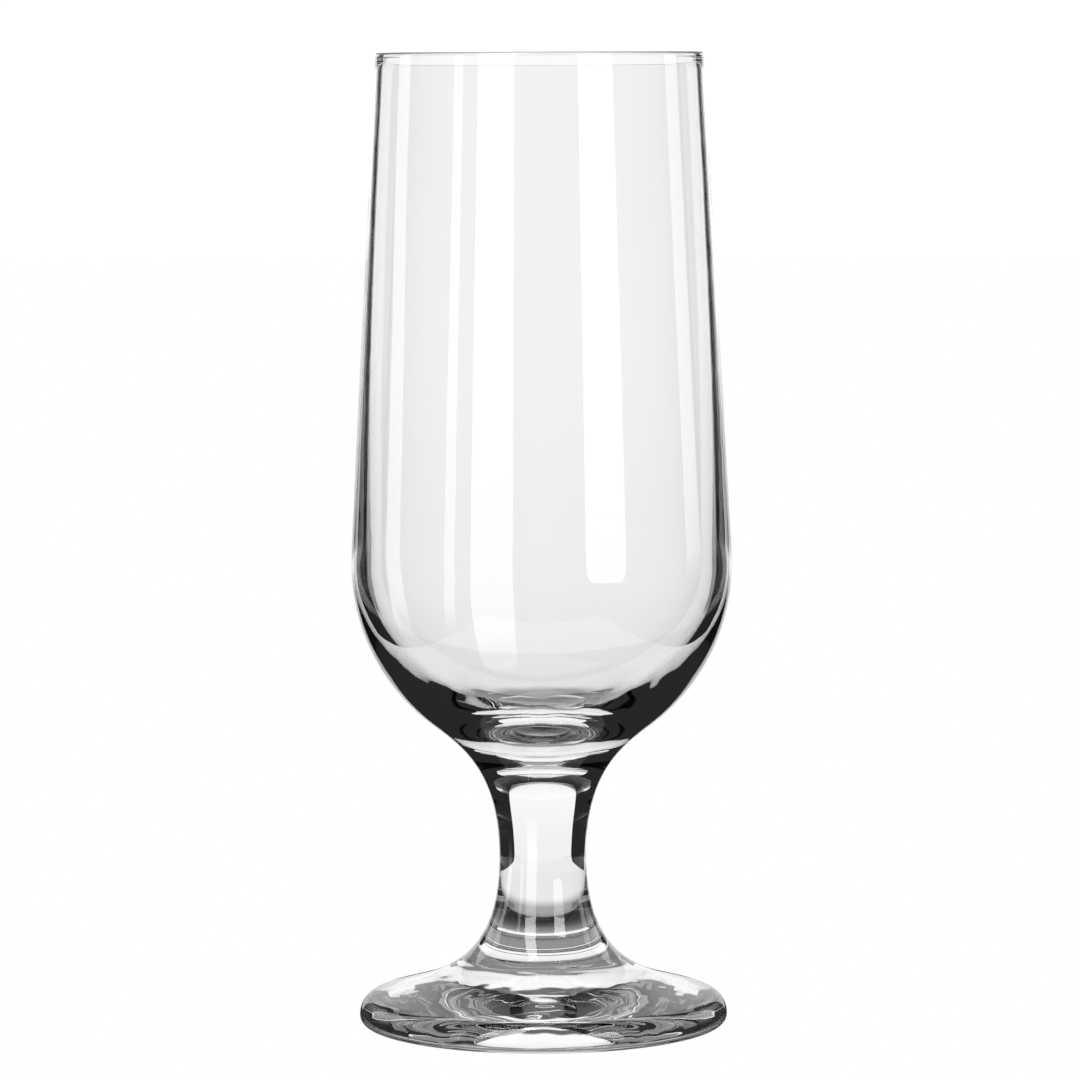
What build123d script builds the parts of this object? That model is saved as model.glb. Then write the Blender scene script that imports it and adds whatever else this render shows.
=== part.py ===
"""Footed pilsner glass: a bowl, a stem and a foot of clear glass, fused to each other at two flat seams.

The frame has +Z up the axis of the glass and its origin at the centre of the ring it stands on.
All sizes are in millimetres, and all angles in degrees.
"""

import os
from math import acos, atan2, cos, degrees, hypot, radians, sin, tan

from build123d import *

os.makedirs("parts", exist_ok=True)

# Heights above the table
glass_height = 179.0
belly_height = 85.1
bowl_seam_height = 46.0
waist_height = 31.0
foot_seam_height = 14.4

# Outside diameters
rim_diameter = 60.0
belly_diameter = 70.0
waist_diameter = 16.1
foot_diameter = 68.0

# Thickness of the bowl: thin at the rim, thicker at the belly, heavy under the cavity
rim_wall = 1.2
rim_swell = 0.1
belly_wall = 2.75
base_thickness = 10.0

# Curves of the bowl's outside: a round below the belly, and a long ease into the straight side
bowl_round = 36.7
bowl_round_angle = 51.2
belly_ease = 90.0

# Curves of the bowl's inside: how far each end of the side and of the round floor holds its direction
cavity_straight = 50.0
cavity_ease = 20.0
cavity_drop = 16.0
floor_reach = 17.8

# Curves of the stem: how far each end of the two sweeps holds its direction
neck_rise = 17.1
neck_reach = 6.7
stem_drop = 19.0
flare_reach = 10.1

# Foot: its sloped top, its rounded edge, and the shallow dish inside the ring it stands on
foot_land = 6.2
foot_slope = 15.7
foot_edge_height = 4.75
foot_edge_top_radius = 3.9
foot_edge_bottom_radius = 1.7
ring_width = 4.8
dish_depth = 2.2

# Radii that the outline is drawn from
rim_radius = rim_diameter / 2
belly_radius = belly_diameter / 2
waist_radius = waist_diameter / 2
foot_radius = foot_diameter / 2
flare_radius = foot_radius - foot_land
ring_inner_radius = foot_radius - foot_edge_bottom_radius - ring_width
cavity_radius = belly_radius - belly_wall
cavity_floor = bowl_seam_height + base_thickness

# The rim is a full round, a little thicker than the wall and flush with it outside
bead_radius = (rim_wall + rim_swell) / 2
bead_centre = Vector(rim_radius - bead_radius, glass_height - bead_radius)
bead_inner_angle = 180 + degrees(acos((rim_wall - bead_radius) / bead_radius))

# The straight side touches both the belly's ease and the rim's round, which gives its lean
ease_centre = Vector(belly_radius - belly_ease, belly_height)
side = bead_centre - ease_centre
wall_lean = degrees(atan2(side.Y, side.X) - acos((belly_ease - bead_radius) / hypot(side.X, side.Y)))
wall_top = bead_centre + bead_radius * Vector(cos(radians(wall_lean)), sin(radians(wall_lean)))

# The round below the belly ends where the neck's sweep takes over
round_centre = Vector(belly_radius - bowl_round, belly_height)
neck_direction = Vector(sin(radians(bowl_round_angle)), cos(radians(bowl_round_angle)))
round_start = round_centre + bowl_round * Vector(neck_direction.Y, -neck_direction.X)

# The foot's top runs straight from its edge to the start of the flare
slope_direction = Vector(-cos(radians(foot_slope)), sin(radians(foot_slope)))
flare_height = foot_edge_height + foot_land * tan(radians(foot_slope))
flare_start = Vector(flare_radius, flare_height)
waist = Vector(waist_radius, waist_height)

# Half section of the whole glass, from the dish under the foot, up the outside and down the cavity
with BuildSketch(Plane.XZ) as glass_section:
    with BuildLine() as outline:
        dish = TangentArc((0, dish_depth), (ring_inner_radius, 0), tangent=(1, 0))
        foot_edge = FilletPolyline(
            (ring_inner_radius, 0),
            (foot_radius, 0),
            (foot_radius, foot_edge_height),
            flare_start,
            radius=[foot_edge_bottom_radius, foot_edge_top_radius],
        )
        flare = Bezier(flare_start, flare_start + flare_reach * slope_direction, waist - (0, stem_drop), waist)
        neck = Bezier(waist, waist + (0, neck_rise), round_start - neck_reach * neck_direction, round_start)
        underside = CenterArc(round_centre, bowl_round, -bowl_round_angle, bowl_round_angle)
        belly = JernArc(underside @ 1, (0, 1), belly_ease, wall_lean)
        outer_wall = Line(belly @ 1, wall_top)
        rim = CenterArc(bead_centre, bead_radius, wall_lean, bead_inner_angle - wall_lean)
        inner_wall = Bezier(
            rim @ 1,
            rim @ 1 + cavity_straight * Vector(sin(radians(wall_lean)), -cos(radians(wall_lean))),
            (cavity_radius, belly_height + cavity_ease),
            (cavity_radius, belly_height),
        )
        floor = Bezier(
            (cavity_radius, belly_height),
            (cavity_radius, belly_height - cavity_drop),
            (floor_reach, cavity_floor),
            (0, cavity_floor),
        )
        core = Line((0, cavity_floor), (0, dish_depth))
    make_face()

# Foot: the sloped disc that the glass stands on, up to the seam below the stem
with BuildPart() as foot:
    revolve(glass_section.sketch, axis=Axis.Z)
    split(bisect_by=Plane.XY.offset(foot_seam_height), keep=Keep.BOTTOM)
foot.part.label = "foot"
export_step(foot.part, "parts/foot.step")

# Stem: the solid waisted column between the two seams
with BuildPart() as stem:
    revolve(glass_section.sketch, axis=Axis.Z)
    split(bisect_by=Plane.XY.offset(bowl_seam_height), keep=Keep.BOTTOM)
    split(bisect_by=Plane.XY.offset(foot_seam_height), keep=Keep.TOP)
stem.part.label = "stem"
export_step(stem.part, "parts/stem.step")

# Bowl: the hollow drinking vessel above the upper seam, with its rounded rim
with BuildPart() as bowl:
    revolve(glass_section.sketch, axis=Axis.Z)
    split(bisect_by=Plane.XY.offset(bowl_seam_height), keep=Keep.TOP)
bowl.part.label = "bowl"
export_step(bowl.part, "parts/bowl.step")

# Room inside the bowl, filled level with the bottom of the rim's round
with BuildPart() as drink:
    with BuildSketch(Plane.XZ):
        with BuildLine():
            add(inner_wall)
            add(floor)
            Polyline(floor @ 1, (0, (inner_wall @ 0).Y), inner_wall @ 0)
        make_face()
    revolve(axis=Axis.Z)

print(f"side leans {wall_lean:.2f} degrees, brimful {drink.part.volume / 1000:.0f} ml")
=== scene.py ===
# %% [markdown]
# A footed pilsner glass. The real one is clear soda-lime glass in three pieces, a bowl, a stem and a
# foot, that were fused while hot. The lesson turns each piece from the same half section that the maker
# would draw, gives it a glass finish, and lights it as a glassware photographer does, with a white card
# behind and soft boxes beside.

# %% Load the fixed frame
from math import acos, asin, atan2, cos, degrees, hypot, pi, radians, sin, tan

import bmesh
import bpy
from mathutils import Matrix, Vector, noise
from mathutils.geometry import interpolate_bezier


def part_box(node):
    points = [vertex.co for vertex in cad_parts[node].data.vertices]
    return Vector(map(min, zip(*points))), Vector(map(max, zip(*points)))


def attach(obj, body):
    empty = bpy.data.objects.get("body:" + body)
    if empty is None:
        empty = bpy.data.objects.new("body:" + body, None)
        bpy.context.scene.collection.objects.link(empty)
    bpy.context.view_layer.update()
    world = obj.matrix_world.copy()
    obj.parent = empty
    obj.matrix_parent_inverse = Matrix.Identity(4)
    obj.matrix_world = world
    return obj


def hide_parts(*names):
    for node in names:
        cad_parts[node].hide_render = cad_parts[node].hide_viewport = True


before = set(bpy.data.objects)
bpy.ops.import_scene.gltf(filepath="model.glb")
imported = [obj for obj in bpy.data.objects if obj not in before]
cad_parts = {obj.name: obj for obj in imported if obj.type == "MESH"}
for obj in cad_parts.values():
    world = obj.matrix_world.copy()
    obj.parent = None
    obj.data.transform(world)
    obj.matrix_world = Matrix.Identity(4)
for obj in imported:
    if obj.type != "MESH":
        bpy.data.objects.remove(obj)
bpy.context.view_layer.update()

print("frame holds", ", ".join(sorted(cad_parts)))

# %% [markdown]
# Main sizes. They could be typed in again, but read off the frame they keep each piece where the frame
# has it. The other sizes come in the cells that need them. Blender counts in metres, so a millimetre gets
# a name.

# %% Read the main sizes off the frame
mm = 0.001
glass_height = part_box("bowl")[1].z
belly_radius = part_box("bowl")[1].x
bowl_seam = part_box("stem")[1].z
foot_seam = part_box("stem")[0].z
foot_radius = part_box("foot")[1].x
print(f"glass {glass_height / mm:.1f} mm tall, {2 * belly_radius / mm:.1f} mm wide")
print(f"seams {foot_seam / mm:.1f} mm and {bowl_seam / mm:.1f} mm above the table")

# %% [markdown]
# Drawing the half section. A turned piece needs one outline, written here as points with a distance from
# the axis and a height. Curve objects could hold it too, but plain points are easy to join and to cut.
# Arcs and cubic curves give even, smooth points, which matter more on glass than on any other surface,
# because every flat facet would show as a kink in what is seen through it.

# %% Helpers that draw stretches of the outline
def arc(centre, radius, start, end, steps):
    """Points along an arc, with angles in degrees from the outward direction."""
    turns = [radians(start + (end - start) * step / steps) for step in range(steps + 1)]
    return [centre + radius * Vector((cos(turn), sin(turn))) for turn in turns]


def straight(first, last, steps):
    """Points along a straight line."""
    return [first.lerp(last, step / steps) for step in range(steps + 1)]


def sweep(first, first_pull, last_pull, last, steps):
    """Points along a curve that leaves one end and reaches the other in the directions of the pulls."""
    return interpolate_bezier(first, first_pull, last_pull, last, steps + 1)


quarter = arc(Vector((0, 0)), mm, 0, 90, 16)
print("a quarter round in 16 steps has", len(quarter), "points")

# %% [markdown]
# Joining and cutting. Neighbouring stretches share a point, which has to be kept once, because two points
# in one place would leave a ring of faces with no area. Cutting happens at a height, as the two seams of
# the glass are level.

# %% Helpers that join and cut outlines
same_place = 1e-6


def joined(*stretches):
    """One outline from several stretches, with the points that two stretches share kept once."""
    outline = [stretches[0][0]]
    for stretch in stretches:
        outline += [point for point in stretch if (point - outline[-1]).length > same_place]
    return outline


def between(outline, low, high):
    """The part of a rising outline between two heights, ended exactly on them."""
    ends = []
    for height in (low, high):
        pairs = zip(outline, outline[1:])
        below, above = next(pair for pair in pairs if pair[0].y <= height <= pair[1].y)
        ends.append(below.lerp(above, (height - below.y) / (above.y - below.y)))
    inner = [point for point in outline if low < point.y < high]
    return joined(ends[:1], inner, ends[1:])


print("two quarter rounds end to end have", len(joined(quarter, quarter[::-1])), "points")

# %% [markdown]
# The foot's underside and edge. A glass stands on a narrow ring round a shallow dish, so that it doesn't
# rock, and the foot's edge is rounded top and bottom against chips. Bevels on a disc could give such
# rounds, but arcs with their true radii run into the flats and the slope without a step.

# %% Draw the foot's underside and edge
dish_depth = 2.2 * mm
ring_width = 4.8 * mm
edge_bottom_radius = 1.7 * mm
edge_top_radius = 3.9 * mm
foot_edge_height = 4.75 * mm
foot_land = 6.2 * mm
foot_slope = 15.7

dish_edge = foot_radius - edge_bottom_radius - ring_width
dish_radius = (dish_edge**2 + dish_depth**2) / (2 * dish_depth)
dish_centre = Vector((0, dish_depth - dish_radius))
dish = arc(dish_centre, dish_radius, 90, 90 - degrees(asin(dish_edge / dish_radius)), 60)

edge_turn = 90 - foot_slope
edge_top_height = foot_edge_height - edge_top_radius * tan(radians(edge_turn) / 2)
edge_bottom_centre = Vector((foot_radius - edge_bottom_radius, edge_bottom_radius))
edge_top_centre = Vector((foot_radius - edge_top_radius, edge_top_height))
edge_bottom = arc(edge_bottom_centre, edge_bottom_radius, -90, 0, 16)
edge_top = arc(edge_top_centre, edge_top_radius, 0, edge_turn, 32)

flare_start = Vector((foot_radius - foot_land, foot_edge_height + foot_land * tan(radians(foot_slope))))
slope = straight(edge_top[-1], flare_start, 10)
print(f"dish {2 * dish_edge / mm:.1f} mm wide, foot edge turns {edge_turn:.1f} degrees")

# %% [markdown]
# The column. Foot, stem and neck flow into each other, as hot glass does when it is drawn out. Three
# shapes with blends between them would show where they meet, so one line of two sweeps runs from the
# foot's slope over the waist to the round under the bowl, and is cut at the two seams afterwards.

# %% Draw the column from the foot's flare to the bowl's round
waist = Vector((8.05, 31.0)) * mm
belly_height = 85.1 * mm
bowl_round = 36.7 * mm
bowl_round_angle = 51.2
flare_reach = 10.1 * mm
stem_drop = 19.0 * mm
neck_rise = 17.1 * mm
neck_reach = 6.7 * mm

slope_direction = Vector((-cos(radians(foot_slope)), sin(radians(foot_slope))))
neck_direction = Vector((sin(radians(bowl_round_angle)), cos(radians(bowl_round_angle))))
round_centre = Vector((belly_radius - bowl_round, belly_height))
round_start = round_centre + bowl_round * Vector((neck_direction.y, -neck_direction.x))

flare_pull = flare_start + flare_reach * slope_direction
stem_pull = waist - Vector((0, stem_drop))
neck_pull = waist + Vector((0, neck_rise))
round_pull = round_start - neck_reach * neck_direction
flare = sweep(flare_start, flare_pull, stem_pull, waist, 120)
neck = sweep(waist, neck_pull, round_pull, round_start, 100)
column = joined(flare, neck)
print(f"column rises from {column[0].y / mm:.1f} mm to {column[-1].y / mm:.1f} mm")

# %% [markdown]
# The bowl's outside and rim. The outside is a round, a long ease and a straight side that leans in a
# little. The rim is a full round, as a flame leaves it. The side's lean follows from the ease and the rim
# that it touches, so it is worked out and not chosen.

# %% Draw the bowl's outside and rim
rim_radius = 30.0 * mm
rim_wall = 1.2 * mm
bead_radius = 0.65 * mm
belly_ease = 90.0 * mm

bead_centre = Vector((rim_radius - bead_radius, glass_height - bead_radius))
ease_centre = Vector((belly_radius - belly_ease, belly_height))
side = bead_centre - ease_centre
wall_lean = degrees(atan2(side.y, side.x) - acos((belly_ease - bead_radius) / hypot(side.x, side.y)))
bead_inner_angle = 180 + degrees(acos((rim_wall - bead_radius) / bead_radius))

underside = arc(round_centre, bowl_round, -bowl_round_angle, 0, 90)
belly = arc(ease_centre, belly_ease, 0, wall_lean, 10)
rim = arc(bead_centre, bead_radius, wall_lean, bead_inner_angle, 32)
outer_wall = straight(belly[-1], rim[0], 20)
print(f"side leans in {wall_lean:.2f} degrees")

# %% [markdown]
# The cavity. Inside, the wall thickens steadily on its way down, and the glass is heavy under the floor.
# A Solidify modifier would give one thickness all over, so the inside has two sweeps of its own. The
# growing wall is what draws the dark double line beside a glass's edge.

# %% Draw the cavity
belly_wall = 2.75 * mm
base_thickness = 10.0 * mm
cavity_straight = 50.0 * mm
cavity_ease = 20.0 * mm
cavity_drop = 16.0 * mm
floor_reach = 17.8 * mm

cavity_floor = bowl_seam + base_thickness
belly_inside = Vector((belly_radius - belly_wall, belly_height))
floor_middle = Vector((0, cavity_floor))
wall_down = Vector((sin(radians(wall_lean)), -cos(radians(wall_lean))))

wall_pull = rim[-1] + cavity_straight * wall_down
ease_pull = belly_inside + Vector((0, cavity_ease))
drop_pull = belly_inside - Vector((0, cavity_drop))
floor_pull = floor_middle + Vector((floor_reach, 0))
inner_wall = sweep(rim[-1], wall_pull, ease_pull, belly_inside, 60)
cavity_round = sweep(belly_inside, drop_pull, floor_pull, floor_middle, 104)
print(f"cavity {(glass_height - cavity_floor) / mm:.1f} mm deep")

# %% [markdown]
# Waves. Pressed glass cools first where it touches the mould, and its skin keeps slow waves from that,
# deepest under the foot and on the floor of the cavity. They are a few hundredths of a millimetre deep,
# which is enough to break up the rings that a true turned shape would show. A bump map could fake them,
# but in clear glass both faces of a wall bend the view, so they belong in the mesh. They die out at the
# seams, the edge of the foot and the belly.

# %% Say how deep the waves are in each part of the glass
wave_length = 3.0 * mm
dish_wave = 0.06 * mm
flare_wave = 0.004 * mm
stem_wave = 0.006 * mm
floor_wave = 0.03 * mm
seam_calm = 3 * mm
dish_calm = 6 * mm
flare_calm = 8 * mm
belly_calm = 10 * mm
floor_full = 2 * mm


def ease_in(value, first, last):
    """A smooth step from 0 at the first value to 1 at the last."""
    share = min(max((value - first) / (last - first), 0), 1)
    return share * share * (3 - 2 * share)


def foot_waves(point):
    """The depth of the waves in the dish and on the foot's flare."""
    if point.y <= dish_depth:
        return dish_wave * ease_in(point.x, dish_edge, dish_edge - dish_calm)
    off_slope = ease_in(point.x, flare_start.x, flare_start.x - flare_calm)
    return flare_wave * off_slope * ease_in(foot_seam - point.y, 0, seam_calm)


def stem_waves(point):
    """The depth of the waves on the stem."""
    off_foot = ease_in(point.y - foot_seam, 0, seam_calm)
    return stem_wave * off_foot * ease_in(bowl_seam - point.y, 0, seam_calm)


def cavity_waves(point):
    """The depth of the waves in the round bottom of the cavity."""
    return floor_wave * ease_in(point.y, belly_height - belly_calm, cavity_floor + floor_full)


print(f"waves up to {dish_wave / mm:.2f} mm under the foot and {floor_wave / mm:.2f} mm in the cavity")

# %% [markdown]
# Turning an outline. A Screw modifier could do it, but a short loop keeps the pieces closed on the axis,
# lets the waves push each point along its own normal, and tells the flat faces at the two seams apart, so
# that they can get a finish of their own.

# %% Helpers that turn an outline into a closed piece
segments = 256
tiny = 1e-7
turns = [2 * pi * step / segments for step in range(segments)]


def wavy_ring(point, along, depth):
    """Places round the axis for one point of the outline, pushed by the waves along its normal."""
    places = []
    for turn in turns:
        place = Vector((point.x * cos(turn), point.x * sin(turn), point.y))
        push = depth * noise.noise(place / wave_length)
        reach = point.x + push * along.y
        places.append((reach * cos(turn), reach * sin(turn), point.y - push * along.x))
    return places if point.x > tiny else places[:1]


def on_seam(face):
    """Whether a face lies flat on one of the two seams."""
    heights = [corner.co.z for corner in face.verts]
    return any(max(heights) - seam < tiny and seam - min(heights) < tiny for seam in (bowl_seam, foot_seam))


def turned(name, outline, depths):
    """A closed piece turned round the axis, whose flat faces on the seams are its second material."""
    shape = bmesh.new()
    rings = []
    befores = outline[:1] + outline[:-1]
    afters = outline[1:] + outline[-1:]
    for before, point, after, depth in zip(befores, outline, afters, depths):
        places = wavy_ring(point, (after - before).normalized(), depth)
        rings.append([shape.verts.new(place) for place in places])
    for lower, upper in zip(rings, rings[1:]):
        for step in range(segments):
            around = ((lower, step), (lower, step + 1), (upper, step + 1), (upper, step))
            corners = [ring[ahead % len(ring)] for ring, ahead in around]
            shape.faces.new(list(dict.fromkeys(corners)))
    bmesh.ops.recalc_face_normals(shape, faces=shape.faces)
    for face in shape.faces:
        flat = on_seam(face)
        face.smooth = not flat
        if flat:
            face.material_index = 1
            for edge in face.edges:
                edge.smooth = False
    mesh = bpy.data.meshes.new(name)
    shape.to_mesh(mesh)
    shape.free()
    piece = bpy.data.objects.new(name, mesh)
    bpy.context.scene.collection.objects.link(piece)
    print(name, "has", len(mesh.polygons), "faces")
    return piece


print("each ring has", segments, "points")

# %% [markdown]
# The three pieces. Foot, stem and bowl were gathered and shaped one after the other and fused at the
# seams, so each is a closed piece that ends in a flat face on a seam. One turned glass would be shorter
# to write, but it couldn't be taken apart again.

# %% Turn the three pieces
def on_axis(height):
    """One point on the axis, where a piece's flat seam face ends."""
    return [Vector((0, height))]


foot_column = between(column, flare_start.y, foot_seam)
stem_column = between(column, foot_seam, bowl_seam)
neck_column = between(column, bowl_seam, round_start.y)
foot_outline = joined(dish, edge_bottom, edge_top, slope, foot_column, on_axis(foot_seam))
stem_outline = joined(on_axis(foot_seam), stem_column, on_axis(bowl_seam))
calm_outline = joined(on_axis(bowl_seam), neck_column, underside, belly, outer_wall, rim, inner_wall)
bowl_outline = joined(calm_outline, cavity_round)

calm_depths = [0.0] * len(calm_outline)
# The very middle of the cavity's floor stays at its height
cavity_depths = [cavity_waves(point) for point in bowl_outline[len(calm_outline):-1]] + [0.0]
foot = turned("foot_glass", foot_outline, [foot_waves(point) for point in foot_outline])
stem = turned("stem_glass", stem_outline, [stem_waves(point) for point in stem_outline])
bowl = turned("bowl_glass", bowl_outline, calm_depths + cavity_depths)

# %% [markdown]
# Writing finishes as expressions. Shader nodes are easier to read as sums than as wires, so one small
# class wraps a socket and adds a Math node for each operator.

# %% A class for sums of values
class Amount:
    """A value on a node's socket that takes part in sums."""

    def __init__(self, finish, socket):
        self.finish = finish
        self.socket = socket

    def sum_with(self, operation, first, second):
        """A Math node on two values."""
        return self.finish.node("ShaderNodeMath", {"operation": operation}, {0: first, 1: second})

    def at_most(self, limit):
        """This value, or the limit where that is less."""
        return self.sum_with("MINIMUM", self, limit)

    def __add__(self, other):
        return self.sum_with("ADD", self, other)

    def __mul__(self, other):
        return self.sum_with("MULTIPLY", self, other)

    def __sub__(self, other):
        return self.sum_with("SUBTRACT", self, other)

    def __rsub__(self, other):
        return self.sum_with("SUBTRACT", other, self)

    __radd__ = __add__
    __rmul__ = __mul__


print("values can be added, subtracted and multiplied")

# %% [markdown]
# Filling a finish. Making a node, setting it and wiring it takes a line for each socket, so every node
# comes from one method. It sets the node up first and then fills or links its sockets.

# %% Helpers that fill a finish
class Finish:
    """A node tree that is filled one node at a time."""

    def __init__(self, tree):
        self.tree = tree
        tree.nodes.clear()

    def node(self, kind, settings=None, sockets=None, output=0):
        """A new node, with its settings set first and its sockets filled or linked after them."""
        made = self.tree.nodes.new(kind)
        for setting, value in (settings or {}).items():
            setattr(made, setting, value)
        for place, value in (sockets or {}).items():
            if isinstance(value, Amount):
                self.tree.links.new(value.socket, made.inputs[place])
            else:
                made.inputs[place].default_value = value
        return Amount(self, made.outputs[output]) if made.outputs else made

    def show(self, surface):
        """Make a shader the surface of the material."""
        self.node("ShaderNodeOutputMaterial", {}, {"Surface": surface})


def new_finish(name):
    """An empty node material and the finish that fills it."""
    material = bpy.data.materials.new(name)
    material.use_nodes = True
    return material, Finish(material.node_tree)


white = (1, 1, 1, 1)
print("white is", white)

# %% [markdown]
# Clear glass. A Principled shader with full transmission bends and mirrors light as glass does, where a
# plain transparent shader would leave it flat. The skin is fire polished, with a very faint ripple. Only
# two places are worn: the ring that the glass stands on is scuffed by tables, and the top of the rim is
# dulled by lips and washing.

# %% Make the clear glass
scuff_height = 0.12 * mm
rim_worn_from = glass_height - 0.5 * mm
rim_worn_fully = glass_height - 0.2 * mm
ring_dullness = 0.06
rim_dullness = 0.45

glass_material, glass_finish = new_finish("clear_glass_finish")
place = glass_finish.node("ShaderNodeTexCoord", output="Object")
height = glass_finish.node("ShaderNodeSeparateXYZ", {}, {0: place}, output="Z")
ripple = glass_finish.node("ShaderNodeTexNoise", {}, {"Vector": place, "Scale": 90.0, "Detail": 2.0})
scuffs = glass_finish.node("ShaderNodeTexNoise", {}, {"Vector": place, "Scale": 900.0, "Detail": 3.0})
ring_limits = {"Value": height, "From Min": scuff_height, "From Max": 0.0}
rim_limits = {"Value": height, "From Min": rim_worn_from, "From Max": rim_worn_fully}
ring_wear = glass_finish.node("ShaderNodeMapRange", {}, ring_limits)
rim_wear = glass_finish.node("ShaderNodeMapRange", {}, rim_limits)
dullness = ring_dullness * ring_wear * scuffs + rim_dullness * rim_wear
polish = glass_finish.node("ShaderNodeBump", {}, {"Height": ripple, "Strength": 0.02, "Distance": 0.001})
glass_sockets = {
    "Base Color": white,
    "Roughness": dullness,
    "IOR": 1.52,
    "Transmission Weight": 1.0,
    "Normal": polish,
}
glass_finish.show(glass_finish.node("ShaderNodeBsdfPrincipled", {}, glass_sockets))
print(glass_material.name, "has", len(glass_material.node_tree.nodes), "nodes")

# %% [markdown]
# The fused seams. Where two pieces melted together the glass is one, and light passes with nothing to
# bend it. The flat faces there could be deleted, but then the pieces would be open, so they get a
# transparent finish instead.

# %% Make the seam's finish, and set the pieces in the frame
seam_material, seam_finish = new_finish("fused_seam_finish")
seam_finish.show(seam_finish.node("ShaderNodeBsdfTransparent"))

for piece, node in ((foot, "foot"), (stem, "stem"), (bowl, "bowl")):
    piece.data.materials.append(glass_material)
    piece.data.materials.append(seam_material)
    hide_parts(node)
    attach(piece, "root")
    print(piece.name, "stands for", node)

# %% [markdown]
# The studio. Clear glass has no colour of its own and shows only what stands round it, so the set is half
# the finish. Area lights could serve, but sheets with a glowing finish can have any outline, and that
# outline is what the glass shows. All sheets but the table are hidden from the camera.

# %% Helpers that place sheets
def sheet(name, rows, material):
    """A sheet of the studio between rows of corners that run from left to right."""
    corners = [corner for row in rows for corner in row]
    width = len(rows[0])
    faces = []
    for row in range(len(rows) - 1):
        for step in range(width - 1):
            start = row * width + step
            faces.append((start, start + width, start + width + 1, start + 1))
    mesh = bpy.data.meshes.new(name)
    mesh.from_pydata(corners, [], faces)
    mesh.materials.append(material)
    thing = bpy.data.objects.new(name, mesh)
    bpy.context.scene.collection.objects.link(thing)
    return thing


def hidden_sheet(name, rows, material):
    """A sheet that only the glass can see."""
    sheet(name, rows, material).visible_camera = False
    print(name, "is set up")


def at(bearing, distance, height):
    """A place given by its distance and its bearing in degrees, from the camera's side to the right."""
    turn = radians(bearing)
    return Vector((distance * sin(turn), -distance * cos(turn), height))


print("a bearing of 90 degrees points to", tuple(round(value) for value in at(90, 1, 0)))

# %% [markdown]
# Two kinds of light. A glassware photographer lights the skin of the glass and the view through it apart,
# and masks each lamp off from the other. Here a ray's count of passes through glass does the masking: at
# none, the outside of the glass mirrors the light, and after that the light is seen through the glass.

# %% Helpers for light on the skin and light through the glass
def shine(finish, strength):
    """An even white light."""
    return finish.node("ShaderNodeEmission", {}, {"Color": white, "Strength": strength})


def clear(finish):
    """Nothing to see."""
    return finish.node("ShaderNodeBsdfTransparent")


def mixed(finish, share, first, second):
    """The first shader at a share of 0, and the second at 1."""
    return finish.node("ShaderNodeMixShader", {}, {0: share, 1: first, 2: second})


def counted(finish, kind):
    """0 for a ray with no bounce of a kind, and 1 for any other."""
    return finish.node("ShaderNodeLightPath", output=kind).at_most(1.0)


def light_on_skin(finish, strength):
    """Light that the outside of the glass mirrors, and that isn't seen through the glass."""
    return mixed(finish, counted(finish, "Transmission Depth"), shine(finish, strength), clear(finish))


def light_through(finish, strength):
    """Light that is seen through the glass, and that its outside doesn't mirror."""
    return mixed(finish, counted(finish, "Transmission Depth"), clear(finish), shine(finish, strength))


print("lights can be", light_on_skin.__name__, "or", light_through.__name__)

# %% [markdown]
# Fades and grids. Real soft boxes fade towards their edges, and a grid before a lamp lets its light out
# only near straight on. A fade is a smooth step over a distance. A grid is a smooth step over the angle
# at which a ray meets the sheet, which the Layer Weight node gives as 1 less the angle's cosine.

# %% Helpers for fades and grids
outward = (1, 1, 0)
backward = (0, 1, 0)
upward = (0, 0, 1)


def smooth_step(finish, value, first, last):
    """A smooth step from 0 at the first value to 1 at the last."""
    limits = {"Value": value, "From Min": first, "From Max": last}
    return finish.node("ShaderNodeMapRange", {"interpolation_type": "SMOOTHSTEP"}, limits)


def fade_in(finish, directions, first, last):
    """A smooth step over the distance from the origin, measured along some directions."""
    place = finish.node("ShaderNodeNewGeometry", output="Position")
    picked = finish.node("ShaderNodeVectorMath", {"operation": "MULTIPLY"}, {0: place, 1: directions})
    length = finish.node("ShaderNodeVectorMath", {"operation": "LENGTH"}, {0: picked}, output="Value")
    return smooth_step(finish, length, first, last)


def facing(angle):
    """The Layer Weight node's value for a ray at an angle in degrees from straight on."""
    return 1 - cos(radians(angle))


def within_grid(finish, dark_angle, lit_angle):
    """What a grid lets through: all within the lit angle from straight on, and none past the dark angle."""
    tilt = finish.node("ShaderNodeLayerWeight", {}, {"Blend": 0.5}, output="Facing")
    return smooth_step(finish, tilt, facing(dark_angle), facing(lit_angle))


print(f"a ray at 60 degrees from straight on has a facing value of {facing(60):.2f}")

# %% [markdown]
# The table and the room. The camera sees a plain white table in a white room. The glass sees neither: for
# it the room is dark, and that darkness draws the edges of the glass. A painted dark rim would be
# simpler, but it would stay put when the glass is seen from elsewhere.

# %% Set the white table and the room
table_reach = 4.0
table_drop = 0.4 * mm
table_ends = (-table_reach, table_reach)
table_material, table_finish = new_finish("white_table_finish")
table_finish.show(shine(table_finish, 1.0))
table_rows = [[Vector((x, y, -table_drop)) for x in table_ends] for y in table_ends[::-1]]
table = sheet("table_top", table_rows, table_material)
for kind in ("diffuse", "glossy", "transmission"):
    setattr(table, "visible_" + kind, False)

world = bpy.data.worlds.new("studio")
bpy.context.scene.world = world
world.use_nodes = True
room = Finish(world.node_tree)
seen_directly = room.node("ShaderNodeLightPath", output="Is Camera Ray")
dark_room = room.node("ShaderNodeBackground", {}, {"Color": white, "Strength": 0.02})
white_room = room.node("ShaderNodeBackground", {}, {"Color": white, "Strength": 1.05})
room.node("ShaderNodeOutputWorld", {}, {"Surface": mixed(room, seen_directly, dark_room, white_room)})
print("table reaches", table_reach, "m each way")
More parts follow.
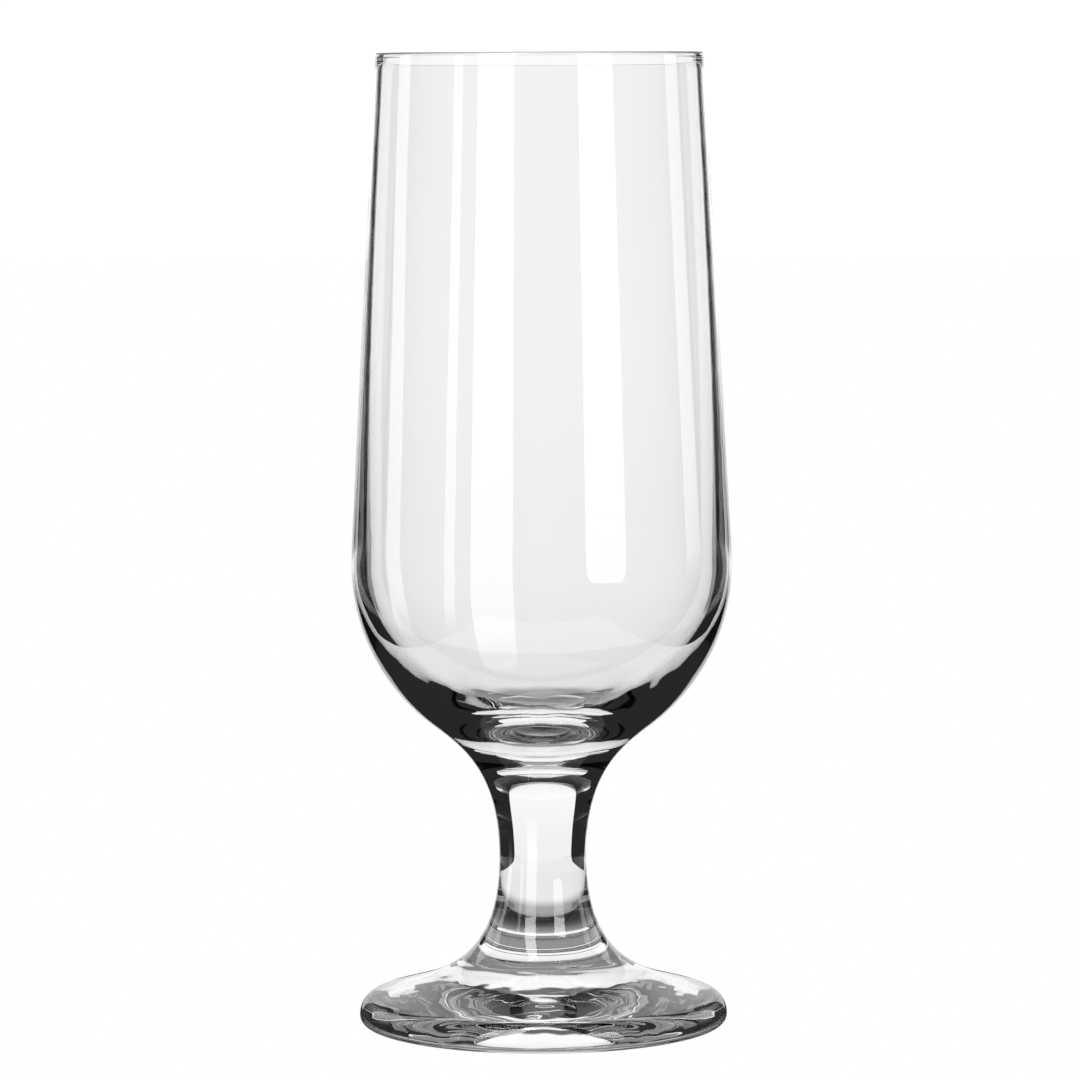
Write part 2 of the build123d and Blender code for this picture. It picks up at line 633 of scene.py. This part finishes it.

# %% [markdown]
# The light table. Under the glass lies a glowing sheet of limited size, which lights the foot and the
# base from below. A lamp below could do that too, but a sheet can have the glass's shadow painted into its
# glow: it is dark under the stem, dim under the foot and bright past it. Seen steeply from above, the foot
# hides less of it, so the painted shadow is paler there.

# %% Lay the light table
card_half = 0.108
card_distance = 0.195
light_half = 0.088
light_bend = 0.15
light_near = -0.12
light_level = -0.5 * table_drop
light_outline = [(card_half, card_distance), (light_half, light_bend), (light_half, light_near)]
light_rows = [[Vector((-half, y, light_level)), Vector((half, y, light_level))] for half, y in light_outline]

light_material, light_finish = new_finish("light_table_finish")
# Painted shadow: the sheet's glow is turned down where the glass stands on it, darkest under the stem
under_stem = light_through(light_finish, 0.03)
under_foot = light_through(light_finish, 0.14)
from_above = light_through(light_finish, 0.28)
past_edge = light_through(light_finish, 0.88)
steep = within_grid(light_finish, 80.0, 76.0)
off_stem = fade_in(light_finish, outward, 0.008, 0.018)
off_flare = fade_in(light_finish, outward, 0.014, 0.022)
off_foot = fade_in(light_finish, outward, 0.034, 0.060)
# The painted shadow, and a paler copy of it for rays that meet the sheet steeply
painted_shadow = mixed(light_finish, off_stem, under_stem, under_foot)
paler_painted_shadow = mixed(light_finish, steep, painted_shadow, from_above)
below_glass = mixed(light_finish, off_flare, painted_shadow, paler_painted_shadow)
light_finish.show(mixed(light_finish, off_foot, below_glass, past_edge))
hidden_sheet("light_table", light_rows, light_material)

# %% [markdown]
# Lights for the other sides. Seen from behind, from the side or from above, the glass needs something
# bright beyond it as well, or it would look smoked. Two floors and a slanted easel give that. Their
# grids, and a count of mirrored bounces, keep them out of the view from the front, where they would wash
# out the dark edges.

# %% Lay the two floors and set up the easel
floor_level = -0.75 * table_drop
studio_reach = 1.4
floor_split = -0.06


def gridded_light(name, rows, strength, dark_angle, lit_angle):
    """A hidden sheet of light behind a grid, which is seen straight through the glass."""
    material, finish = new_finish(name + "_finish")
    share = within_grid(finish, dark_angle, lit_angle) * (1 - counted(finish, "Glossy Depth"))
    finish.show(mixed(finish, share, clear(finish), light_through(finish, strength)))
    hidden_sheet(name, rows, material)


def floor_rows(far, near):
    """The corners of a stretch of floor, from its far edge to its near one."""
    return [[Vector((x, y, floor_level)) for x in (-studio_reach, studio_reach)] for y in (far, near)]


easel_top = (-0.30, 0.2095)
easel_foot = (-0.09, -0.0005)
easel_sides = (-0.07, 0.05)
easel_rows = [[Vector((x, y, z)) for y in easel_sides] for x, z in (easel_top, easel_foot)]
gridded_light("front_floor", floor_rows(floor_split, -studio_reach), 0.95, 88.0, 82.0)
gridded_light("back_floor", floor_rows(studio_reach, floor_split), 0.90, 73.0, 70.0)
gridded_light("left_easel", easel_rows, 1.0, 50.5, 48.0)

# %% [markdown]
# The card. A white card behind the glass fills it with light. A bright room would fill it too, but only
# a card has edges, and past them, bent by the wall, the dark bands begin. It is a little dimmer at its
# foot, a painted shade where the table takes light away, and a grid on its lower part keeps it dim from the
# side.

# %% Hang the card behind the glass
card_top = 0.95
card_bottom = -0.01
card_ends = (-card_half, card_half)
card_rows = [[Vector((x, card_distance, z)) for x in card_ends] for z in (card_top, card_bottom)]

card_material, card_finish = new_finish("card_finish")
# Painted shade: the card's glow is turned down towards its foot, beside the table
off_table = fade_in(card_finish, upward, 0.0, 0.12)
off_glass = fade_in(card_finish, upward, 0.27, 0.31)
straight_on = within_grid(card_finish, 44.0, 37.0)
whole_card = mixed(card_finish, off_table, shine(card_finish, 0.96), shine(card_finish, 1.05))
lower_card = mixed(card_finish, straight_on, shine(card_finish, 0.15), whole_card)
card_finish.show(mixed(card_finish, off_glass, lower_card, whole_card))
hidden_sheet("back_card", card_rows, card_material)

# %% [markdown]
# Soft boxes. Each tall strip of white on the bowl is a soft box that its outside mirrors. A strip could
# be painted on the glass, but only a real sheet bends with the bowl, ends where the bowl turns under and
# comes back on the stem. A box is a strip along a route, which can start on the table, stand up and lean
# over the glass.

# %% Helpers for soft boxes, and their finishes
def strip_light(name, strength, *fades):
    """The finish of a soft box or panel, which can fade in along some directions."""
    material, finish = new_finish(name)
    surface = light_on_skin(finish, strength)
    for directions, first, last in fades:
        surface = mixed(finish, fade_in(finish, directions, first, last), clear(finish), surface)
    finish.show(surface)
    print(name, "shines at", strength)
    return material


def soft_box(name, route, material):
    """A hidden strip of light along a route of distance, height, left bearing and right bearing."""
    rows = []
    for distance, height, left, right in route:
        rows.append([at(left, distance, height), at(right, distance, height)])
    hidden_sheet(name, rows, material)


wide_left_light = strip_light("wide_left_finish", 3.2, (outward, 0.03, 0.16))
wide_right_light = strip_light("wide_right_finish", 3.4)
narrow_light = strip_light("narrow_box_finish", 2.5, (outward, 0.11, 0.32))
high_light = strip_light("high_box_finish", 9.0)
raised_light = strip_light("raised_box_finish", 2.1, (upward, 0.0, 0.10))
panel_light = strip_light("side_panel_finish", 1.8, (backward, 0.05, 0.55), (upward, 0.0, 0.14))

# %% [markdown]
# Boxes on the left. A wide one before the glass runs from the table up and over it, and narrows to a
# round end near the foot. Two narrow ones stand further round. High up the wide one is much brighter,
# because the stem's flare and the foot's slope mirror that part, and it has to show against the light
# inside them.

# %% Set up the boxes on the left
on_table = 0.0005
box_distance = 0.70
box_top = 0.50
high_start = 0.30

wide_left_route = [
    (0.074, on_table, -34.0, -20.5),
    (0.077, on_table, -37.5, -18.0),
    (0.084, on_table, -40.0, -15.6),
    (0.20, on_table, -40.8, -15.5),
    (box_distance, on_table, -42.3, -16.6),
    (box_distance, high_start, -42.3, -17.0),
]
high_left_route = [
    (box_distance, high_start, -42.3, -17.0),
    (box_distance, 0.55, -42.3, -17.2),
    (0.45, 0.80, -42.3, -17.2),
    (0.10, 0.95, -42.3, -17.2),
]
narrow_left_route = [
    (0.11, on_table, -59.0, -51.5),
    (box_distance, on_table, -59.0, -52.0),
    (box_distance, box_top, -61.0, -54.2),
]
far_left_route = [
    (0.13, on_table, -97.0, -85.8),
    (0.25, on_table, -100.5, -86.6),
    (box_distance, on_table, -104.0, -90.6),
    (box_distance, 0.10, -107.1, -93.7),
    (box_distance, 0.14, -109.1, -95.7),
    (box_distance, 0.19, -112.5, -99.1),
    (box_distance, box_top, -114.5, -101.1),
]
soft_box("wide_left_box", wide_left_route, wide_left_light)
soft_box("high_left_box", high_left_route, high_light)
soft_box("narrow_left_box", narrow_left_route, narrow_light)
soft_box("far_left_box", far_left_route, narrow_light)

# %% [markdown]
# Boxes on the right. The wide one stands off the table, so its strip ends above the bowl's turn, in
# rounded corners. Each corner is a quarter of an ellipse. Panels beside the card on both sides lighten
# the outermost skin, and a narrow box stands in the gap before the right one.

# %% Set up the boxes on the right and the side panels
right_edges = (26.0, 50.8)
right_start = 0.010
corner_rise = 0.058
corner_inset = 5.4
corner_steps = 8

wide_right_route = []
for step in range(corner_steps + 1):
    turn = radians(90 * step / corner_steps)
    inset = corner_inset * (1 - sin(turn))
    level = right_start + corner_rise * (1 - cos(turn))
    wide_right_route.append((box_distance, level, right_edges[0] + inset, right_edges[1] - inset))
wide_right_route.append((box_distance, high_start, *right_edges))
high_right_route = [(box_distance, level, *right_edges) for level in (high_start, 0.60)]
soft_box("wide_right_box", wide_right_route, wide_right_light)
soft_box("high_right_box", high_right_route, high_light)

panel_near = 113.0
panel_ends = [(0.0, 127.0), (0.06, 131.0), (0.12, 138.0), (0.16, 140.0), (box_top, 140.0)]
for hand, name in ((-1, "left_panel"), (1, "right_panel")):
    panel_route = []
    for level, end in panel_ends:
        panel_route.append((box_distance, level, *sorted((hand * panel_near, hand * end))))
    soft_box(name, panel_route, panel_light)
far_right_route = [(box_distance, level, 95.8, 109.2) for level in (0.01, box_top)]
soft_box("far_right_box", far_right_route, raised_light)

# %% [markdown]
# The camera. A product shot of a glass is taken from well back with a long lens, so that the upright
# sides stay straight. It stands a little lower than the rim, looks slightly down at the middle of the
# glass, and is turned a little about its own axis, as the photograph is.

# %% Set the camera
camera_back = 962.7 * mm
camera_height = 175.7 * mm
camera_turn = -0.25
aim = Vector((-0.27, 0, 89.63)) * mm

camera_data = bpy.data.cameras.new("camera")
camera_data.sensor_width = 36.0
camera_data.lens = 175.1
camera = bpy.data.objects.new("camera", camera_data)
camera.location = (0, -camera_back, camera_height)
camera.rotation_euler = (aim - camera.location).to_track_quat("-Z", "Y").to_euler()
camera.rotation_euler.rotate_axis("Z", radians(camera_turn))
bpy.context.scene.collection.objects.link(camera)
bpy.context.scene.camera = camera
print(f"camera {camera_back:.2f} m before the glass and {camera_height:.2f} m above the table")

# %% [markdown]
# Light paths and tones. A ray can cross a dozen walls of glass before it meets a light, and every clear
# sheet that it passes counts as well, so the limits are raised. The Standard view keeps white as white,
# where a film-like view would grey it.

# %% Set the limits of the light paths and the view
studio = bpy.context.scene
studio.view_settings.view_transform = "Standard"
studio.cycles.max_bounces = 32
studio.cycles.transmission_bounces = 32
studio.cycles.glossy_bounces = 16
studio.cycles.transparent_max_bounces = 64
studio.cycles.use_denoising = True
print("rays may bounce", studio.cycles.max_bounces, "times")
